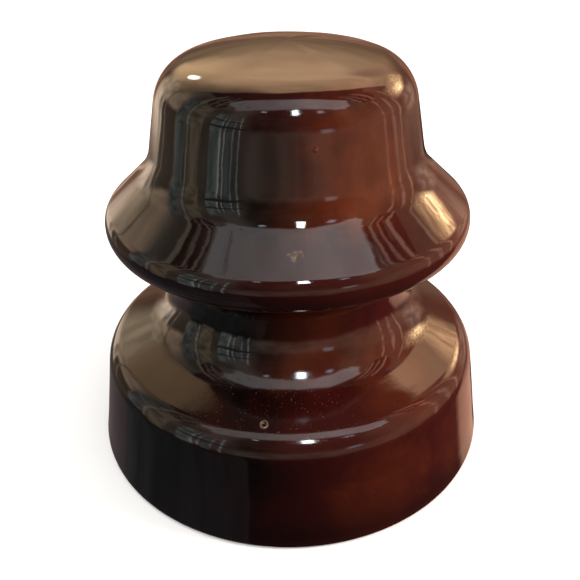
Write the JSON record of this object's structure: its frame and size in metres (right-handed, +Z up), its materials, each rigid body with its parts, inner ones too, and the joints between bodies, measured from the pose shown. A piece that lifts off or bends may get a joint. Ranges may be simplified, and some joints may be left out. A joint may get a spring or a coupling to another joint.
{
  "type": "pin insulator",
  "caption": "Mahogany-glazed porcelain pin insulator: rounded crown, flange, wire groove and flared skirt, with a threaded zinc thimble cemented in the pin hole.",
  "frame": {"origin": "centre of the foot ring, in the plane that the insulator stands on", "axes": "+Z up along the pin hole's axis, from the foot towards the crown; +X and +Y are equal, because the body is round"},
  "size_m": [0.1394, 0.1394, 0.136],
  "materials": {
    "mahogany_glaze": "gloss",
    "sand_grit": "matte",
    "cement": "matte",
    "bitumen": "satin",
    "cork": "matte",
    "zinc": "satin"
  },
  "bodies": {
    "root": {"porcelain_body": "mahogany_glaze", "sand_band": "sand_grit", "thimble_cement": "cement", "bitumen_seal": "bitumen", "cushion_disc": "cork", "zinc_thimble": "zinc"}
  },
  "joints": []
}
